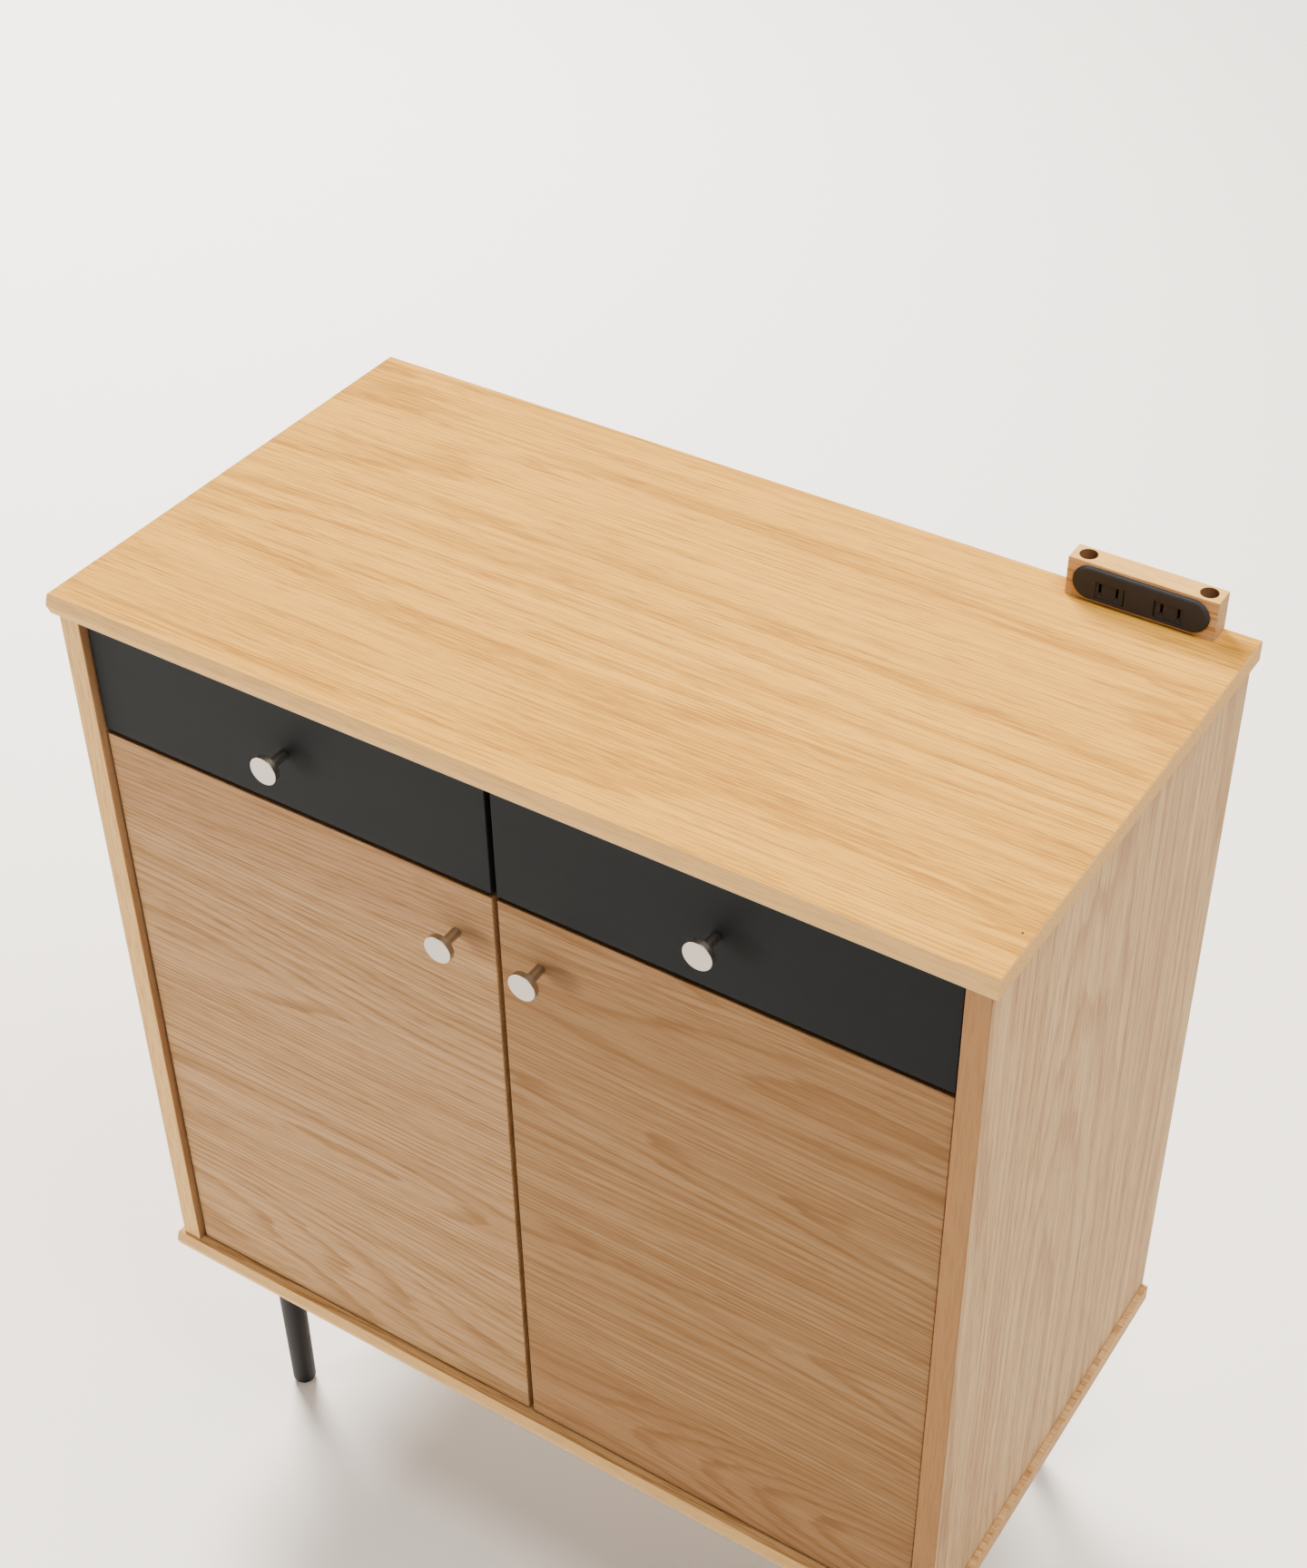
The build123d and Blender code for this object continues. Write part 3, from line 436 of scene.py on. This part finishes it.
def charcoal(name, seed):
    material, tree, shader = newMaterial(name)
    place = addNode(tree, "ShaderNodeTexCoord").outputs["Object"]
    shift = (seed, 0.0, seed)
    shifted = addNode(tree, "ShaderNodeMapping", {"Vector": place, "Location": shift}).outputs[0]
    grain = stretchedNoise(tree, shifted, 0, *charcoalLook["grain"])
    cloud = stretchedNoise(tree, shifted, 0, *charcoalLook["cloud"])
    grainPart = times(tree, grain, charcoalLook["grainShare"])
    cloudPart = times(tree, cloud, charcoalLook["cloudShare"])
    shade = plus(tree, grainPart, cloudPart)
    colour = mixColour(tree, shade, charcoalLook["dark"], charcoalLook["light"])
    finishShader(tree, shader, charcoalLook, colour, grain, grain)
    return material


print("charcoal fronts")
dress(charcoal("charcoal right", 1.0), "right_drawer_front")
dress(charcoal("charcoal left", 2.0), "left_drawer_front")


# Metals and plastics, and the light boards of the drawer boxes

finishLook = {
    "metallic": 0.0,
    "cloudSize": 25.0,       # in grains
    "roughSpread": 0.08,
    "gloss": 0.5,
    "bump": 0.05,
    "bumpDepth": 0.0002,
}
finishes = {
    "brushed nickel": {"colour": (0.39, 0.365, 0.325), "second": (0.46, 0.43, 0.385), "metallic": 1.0,
                       "roughness": 0.34, "grainSize": 0.0011, "roughSpread": 0.12, "bump": 0.12},
    "black powder coat": {"colour": (0.0025, 0.0022, 0.002), "second": (0.004, 0.0036, 0.0034), "gloss": 0.25,
                          "roughness": 0.6, "grainSize": 0.0006, "roughSpread": 0.1, "bump": 0.2},
    "zinc plate": {"colour": (0.55, 0.56, 0.58), "second": (0.66, 0.66, 0.66), "metallic": 1.0,
                   "roughness": 0.34, "grainSize": 0.002},
    "cast zinc": {"colour": (0.42, 0.42, 0.43), "second": (0.52, 0.52, 0.52), "metallic": 1.0,
                  "roughness": 0.5, "grainSize": 0.0007, "roughSpread": 0.1, "bump": 0.3},
    "nickel plated steel": {"colour": (0.62, 0.61, 0.60), "second": (0.70, 0.70, 0.69), "metallic": 1.0,
                            "roughness": 0.25, "grainSize": 0.0016},
    "sprung brass": {"colour": (0.72, 0.52, 0.22), "second": (0.80, 0.60, 0.30), "metallic": 1.0,
                     "roughness": 0.3, "grainSize": 0.0016},
    "outlet plastic": {"colour": (0.018, 0.018, 0.022), "second": (0.025, 0.025, 0.029),
                       "roughness": 0.65, "grainSize": 0.0004, "bump": 0.1, "gloss": 0.2},
    "black plastic": {"colour": (0.014, 0.014, 0.014), "second": (0.02, 0.02, 0.02),
                      "roughness": 0.5, "grainSize": 0.0004, "bump": 0.2},
}
boxLook = {
    "pale": (0.62, 0.48, 0.30),
    "deep": (0.48, 0.34, 0.19),
    "blush": (0.57, 0.43, 0.26),
    "ringStrength": 0.3,
    "poreStrength": 0.15,
}


def plainFinish(name, changes):
    look = dict(finishLook, **changes)
    material, tree, shader = newMaterial(name)
    place = addNode(tree, "ShaderNodeTexCoord").outputs["Object"]
    fleckSize = look["grainSize"]
    cloudSize = fleckSize * look["cloudSize"]
    fleck = stretchedNoise(tree, place, 0, fleckSize, fleckSize, 3.0, 0.6)
    cloud = stretchedNoise(tree, place, 0, cloudSize, cloudSize)
    shader.inputs["Metallic"].default_value = look["metallic"]
    colour = mixColour(tree, cloud, look["colour"], look["second"])
    finishShader(tree, shader, look, colour, fleck, fleck)
    return material


print("metals and plastics")
finished = {name: plainFinish(name, changes) for name, changes in finishes.items()}
boxBoard = oak("drawer box board", "Y", "Z", 11.0, **boxLook)
for name in nodes:
    if name.endswith("knob"):
        dress(finished["brushed nickel"], name)
    elif name.endswith("_leg") or name == "leg_plates":
        dress(finished["black powder coat"], name)
    elif name == "outlet_plate":
        dress(finished["outlet plastic"], name)
    elif name in ("outlet_housing", "cord_gland", "leg_glides"):
        dress(finished["black plastic"], name)
    elif name == "outlet_contacts":
        dress(finished["sprung brass"], name)
    elif name == "cam_locks":
        dress(finished["cast zinc"], name)
    elif "hinge" in name and "screw" not in name:
        dress(finished["nickel plated steel"], name)
    elif name.endswith(("_inner_side", "_outer_side", "drawer_back", "drawer_bottom")):
        dress(boxBoard, name)
    elif name.endswith(("screw", "screws", "studs", "bolts", "pins", "members")):
        dress(finished["zinc plate"], name)


# Screws: one tree makes a cross-recessed head and a threaded shank, and sets them where the CAD heads are

screwLook = {
    "headSides": 28,
    "headTopShare": 0.8,
    "shankSides": 14,
    "coreShare": 0.8,
    "threadPitch": 0.0016,
    "firstTurnShare": 0.9,
    "ridgeShare": 0.5,
    "recessLengthShare": 1.15,
    "recessWidthShare": 0.3,
    "recessDepthShare": 0.6,
}
screwKinds = {
    "leg_plate_screws": {"axis": "Z", "headHeight": 0.0022, "shankRadius": 0.0018},
    "outlet_block_screws": {"axis": "Z", "headHeight": 0.0030, "shankRadius": 0.0022},
    "euro_screws": {"axis": "X", "headHeight": 0.0018, "shankRadius": 0.0031},
    "hinge_arm_screws": {"axis": "X", "headHeight": 0.0020, "shankRadius": 0.0025},
}
for front in ("right_drawer", "left_drawer", "right_door", "left_door"):
    screwKinds[front + "_knob_screw"] = {"axis": "Y", "headHeight": 0.0024, "shankRadius": 0.0020}
weldGap = 0.000002
rimGap = 0.0001


def screwTree():
    tree = bpy.data.node_groups.new("screws", "GeometryNodeTree")
    tree.interface.new_socket("Geometry", in_out="INPUT", socket_type="NodeSocketGeometry")
    for name in ("Head Radius", "Head Height", "Shank Radius", "Shank Length", "Thread Pitch"):
        tree.interface.new_socket(name, in_out="INPUT", socket_type="NodeSocketFloat")
    tree.interface.new_socket("Finish", in_out="INPUT", socket_type="NodeSocketMaterial")
    tree.interface.new_socket("Geometry", in_out="OUTPUT", socket_type="NodeSocketGeometry")
    given = addNode(tree, "NodeGroupInput").outputs
    headRadius, headHeight = given["Head Radius"], given["Head Height"]
    shankRadius, shankLength = given["Shank Radius"], given["Shank Length"]
    pitch = given["Thread Pitch"]

    def share(value, name):
        return times(tree, value, screwLook[name])

    def firstOutput(kind, inputs):
        return addNode(tree, kind, inputs).outputs[0]

    def upBy(height):
        return firstOutput("ShaderNodeCombineXYZ", {"Z": height})

    def lifted(part, height):
        return firstOutput("GeometryNodeTransform", {"Geometry": part, "Translation": upBy(height)})

    head = addNode(tree, "GeometryNodeMeshCone", {
        "Vertices": screwLook["headSides"], "Depth": headHeight,
        "Radius Top": share(headRadius, "headTopShare"), "Radius Bottom": headRadius}).outputs["Mesh"]
    recess = addNode(tree, "GeometryNodeMeshBoolean", operation="DIFFERENCE", solver="EXACT")
    tree.links.new(head, recess.inputs[0])
    # half of each cutting block stands above the head
    recessHeight = times(tree, headHeight, screwLook["recessDepthShare"] * 2.0)
    longSide = share(headRadius, "recessLengthShare")
    thinSide = share(headRadius, "recessWidthShare")
    for wide, narrow in ((longSide, thinSide), (thinSide, longSide)):
        size = firstOutput("ShaderNodeCombineXYZ", {"X": wide, "Y": narrow, "Z": recessHeight})
        cut = lifted(addNode(tree, "GeometryNodeMeshCube", {"Size": size}).outputs["Mesh"], headHeight)
        tree.links.new(cut, recess.inputs[1])

    coreRadius = share(shankRadius, "coreShare")
    core = addNode(tree, "GeometryNodeMeshCylinder", {
        "Vertices": screwLook["shankSides"], "Depth": shankLength, "Radius": coreRadius}).outputs["Mesh"]
    core = lifted(core, times(tree, shankLength, -0.5))
    turns = calc(tree, "FLOOR", calc(tree, "DIVIDE", shankLength, pitch))
    firstTurn = upBy(times(tree, pitch, -screwLook["firstTurnShare"]))
    nextTurn = upBy(times(tree, pitch, -1.0))
    line = firstOutput("GeometryNodeMeshLine", {
        "Count": turns, "Start Location": firstTurn, "Offset": nextTurn})
    ridge = addNode(tree, "GeometryNodeMeshCone", {
        "Vertices": screwLook["shankSides"], "Depth": share(pitch, "ridgeShare"),
        "Radius Top": coreRadius, "Radius Bottom": shankRadius}).outputs["Mesh"]
    ridges = firstOutput("GeometryNodeInstanceOnPoints", {"Points": line, "Instance": ridge})
    thread = firstOutput("GeometryNodeRealizeInstances", {"Geometry": ridges})

    join = addNode(tree, "GeometryNodeJoinGeometry")
    for part in (recess.outputs[0], core, thread):
        tree.links.new(part, join.inputs[0])
    heading = addNode(tree, "GeometryNodeInputNamedAttribute", {"Name": "facing"}, data_type="FLOAT_VECTOR")
    facing = {"Vector": heading.outputs["Attribute"]}
    turned = addNode(tree, "FunctionNodeAlignRotationToVector", facing, axis="Z").outputs[0]
    placed = firstOutput("GeometryNodeInstanceOnPoints", {
        "Points": given["Geometry"], "Instance": join.outputs[0], "Rotation": turned})
    real = firstOutput("GeometryNodeRealizeInstances", {"Geometry": placed})
    dressed = firstOutput("GeometryNodeSetMaterial", {"Geometry": real, "Material": given["Finish"]})
    tree.links.new(dressed, addNode(tree, "NodeGroupOutput").inputs[0])
    return tree


def looseParts(name):
    # the corner points of each separate solid in a node, without a change to the node
    shape = bmesh.new()
    shape.from_mesh(nodes[name].data)
    bmesh.ops.remove_doubles(shape, verts=shape.verts, dist=weldGap)
    unseen = dict.fromkeys(shape.verts)
    found = []
    while unseen:
        waiting = [next(iter(unseen))]
        del unseen[waiting[0]]
        points = []
        while waiting:
            vert = waiting.pop()
            points.append(vert.co.copy())
            for link in vert.link_edges:
                other = link.other_vert(vert)
                if other in unseen:
                    del unseen[other]
                    waiting.append(other)
        found.append(points)
    shape.free()
    return found


def screwSeats(name, kind):
    # where each CAD head sits, the way it faces, its radius and the length of the shank under it
    axis = "XYZ".index(kind["axis"])
    across = [i for i in range(3) if i != axis]
    seats = []
    for points in looseParts(name):
        low = [min(point[i] for point in points) for i in range(3)]
        high = [max(point[i] for point in points) for i in range(3)]
        middle = Vector([(a + b) / 2 for a, b in zip(low, high)])
        headRadius = (high[across[0]] - low[across[0]]) / 2
        endWidth = {}
        for end in (low[axis], high[axis]):
            rim = [point for point in points if abs(point[axis] - end) < rimGap]
            endWidth[end] = max(math.hypot(*(point[i] - middle[i] for i in across)) for point in rim)
        top = max(endWidth, key=endWidth.get)
        facing = Vector((0.0, 0.0, 0.0))
        facing[axis] = 1.0 if top == high[axis] else -1.0
        seat = middle.copy()
        seat[axis] = top - facing[axis] * kind["headHeight"]
        seats.append((seat, facing, headRadius, high[axis] - low[axis] - kind["headHeight"]))
    return seats


print("screws")
screwMaker = screwTree()
screwSockets = screwMaker.interface.items_tree
inputNames = {item.name: item.identifier for item in screwSockets if item.in_out == "INPUT"}
for name, kind in screwKinds.items():
    seats = screwSeats(name, kind)
    points = bpy.data.meshes.new("points of " + name)
    points.from_pydata([seat for seat, facing, radius, length in seats], [], [])
    facings = points.attributes.new("facing", "FLOAT_VECTOR", "POINT")
    for index, seat in enumerate(seats):
        facings.data[index].vector = seat[1]
    maker = bpy.data.objects.new("maker of " + name, points)
    bpy.context.scene.collection.objects.link(maker)
    modifier = maker.modifiers.new("screws", "NODES")
    modifier.node_group = screwMaker
    sizes = {
        "Head Radius": seats[0][2],
        "Head Height": kind["headHeight"],
        "Shank Radius": kind["shankRadius"],
        "Shank Length": seats[0][3],
        "Thread Pitch": screwLook["threadPitch"],
        "Finish": finished["zinc plate"],
    }
    for inputName, value in sizes.items():
        modifier[inputNames[inputName]] = value
    depsgraph = bpy.context.evaluated_depsgraph_get()
    made = bpy.data.meshes.new_from_object(maker.evaluated_get(depsgraph))
    maker.modifiers.remove(modifier)
    bpy.data.objects.remove(maker)
    made.name = "threaded_" + name
    screws = bpy.data.objects.new("threaded_" + name, made)
    bpy.context.scene.collection.objects.link(screws)
    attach(screws, nodes[name]["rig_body"])
    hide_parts(name)


# Floor, light and camera

studio = {
    "paper": (1.08, 1.035, 0.99, 1.0),
    "floorHalf": 9.0,
    "sweep": (3.0, 7.5),     # distances between which the floor turns into the wall
    "sky": (1.0, 0.96, 0.92, 1.0),
    "skyStrength": 0.16,
    "wallStrength": 4.2,
    "lampColour": (1.0, 0.95, 0.88),
}
lamps = {
    "top light": {"place": (0.85, -0.05, 2.6), "target": (0.35, 0.0, 0.8), "size": 1.5, "power": 76.0},
    "back light": {"place": (-3.0, 2.3, 3.9), "target": (-1.0, 0.5, 0.2), "size": 2.2, "power": 830.0},
    "front light": {"place": (-2.2, -2.5, 0.7), "target": (0.0, -0.2, 0.5), "size": 1.1, "power": 76.0},
}

print("studio")
half = studio["floorHalf"]
floorMesh = bpy.data.meshes.new("floor")
corners = [(-half, -half, 0), (half, -half, 0), (half, half, 0), (-half, half, 0)]
floorMesh.from_pydata(corners, [], [(0, 1, 2, 3)])
floor = bpy.data.objects.new("floor", floorMesh)
bpy.context.scene.collection.objects.link(floor)
floorMaterial, floorTree, unusedShader = newMaterial("studio paper")
floorTree.nodes.remove(unusedShader)
paper = addNode(floorTree, "ShaderNodeBsdfDiffuse", {"Color": studio["paper"]}).outputs[0]
# far from the cabinet the paper curves up into the lit wall, which a pale glow stands for
spot = addNode(floorTree, "ShaderNodeTexCoord").outputs["Object"]
away = addNode(floorTree, "ShaderNodeVectorMath", {0: spot}, operation="LENGTH").outputs["Value"]
onWall = ramp(floorTree, away, *studio["sweep"])
wallGlow = {"Color": studio["sky"], "Strength": studio["wallStrength"]}
glow = addNode(floorTree, "ShaderNodeEmission", wallGlow).outputs[0]
sweep = addNode(floorTree, "ShaderNodeMixShader", {0: onWall, 1: paper, 2: glow}).outputs[0]
floorTree.links.new(sweep, floorTree.nodes["Material Output"].inputs["Surface"])
floorMesh.materials.append(floorMaterial)
floor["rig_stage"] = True

world = bpy.context.scene.world or bpy.data.worlds.new("world")
bpy.context.scene.world = world
world.use_nodes = True
worldTree = world.node_tree
background = worldTree.nodes["Background"]
background.inputs["Color"].default_value = studio["sky"]
# the wall behind the floor is pale where it is seen, and lights the cabinet only a little
seen = addNode(worldTree, "ShaderNodeLightPath").outputs["Is Camera Ray"]
strengths = {"Value": seen, "To Min": studio["skyStrength"], "To Max": studio["wallStrength"]}
strength = addNode(worldTree, "ShaderNodeMapRange", strengths).outputs[0]
worldTree.links.new(strength, background.inputs["Strength"])

for lampName, lampLook in lamps.items():
    lampData = bpy.data.lights.new(lampName, "AREA")
    lampData.shape = "DISK"
    lampData.size = lampLook["size"]
    lampData.energy = lampLook["power"]
    lampData.color = studio["lampColour"]
    lamp = bpy.data.objects.new(lampName, lampData)
    bpy.context.scene.collection.objects.link(lamp)
    lamp.location = lampLook["place"]
    aim = Vector(lampLook["target"]) - Vector(lampLook["place"])
    lamp.rotation_euler = aim.to_track_quat("-Z", "Y").to_euler()

view = {
    "place": (0.77702, -1.16736, 1.88428),
    "azimuth": 32.89,
    "elevation": 39.80,
    "roll": -0.63,
    "focal": 56.436,
    "sensor": 36.0,
    "shift": (-0.0120, 0.0236),
    "clipEnd": 60.0,
}
cameraData = bpy.data.cameras.new("camera")
cameraData.sensor_width = view["sensor"]
cameraData.lens = view["focal"]
cameraData.shift_x, cameraData.shift_y = view["shift"]
cameraData.clip_end = view["clipEnd"]
camera = bpy.data.objects.new("camera", cameraData)
bpy.context.scene.collection.objects.link(camera)
turn = (Matrix.Rotation(math.radians(view["azimuth"]), 4, "Z")
        @ Matrix.Rotation(math.radians(90.0 - view["elevation"]), 4, "X")
        @ Matrix.Rotation(math.radians(view["roll"]), 4, "Z"))
camera.matrix_world = Matrix.Translation(Vector(view["place"])) @ turn
bpy.context.scene.camera = camera

sizes = {"cad": [list(corner) for corner in cadBounds], "visual": [list(corner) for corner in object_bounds()]}
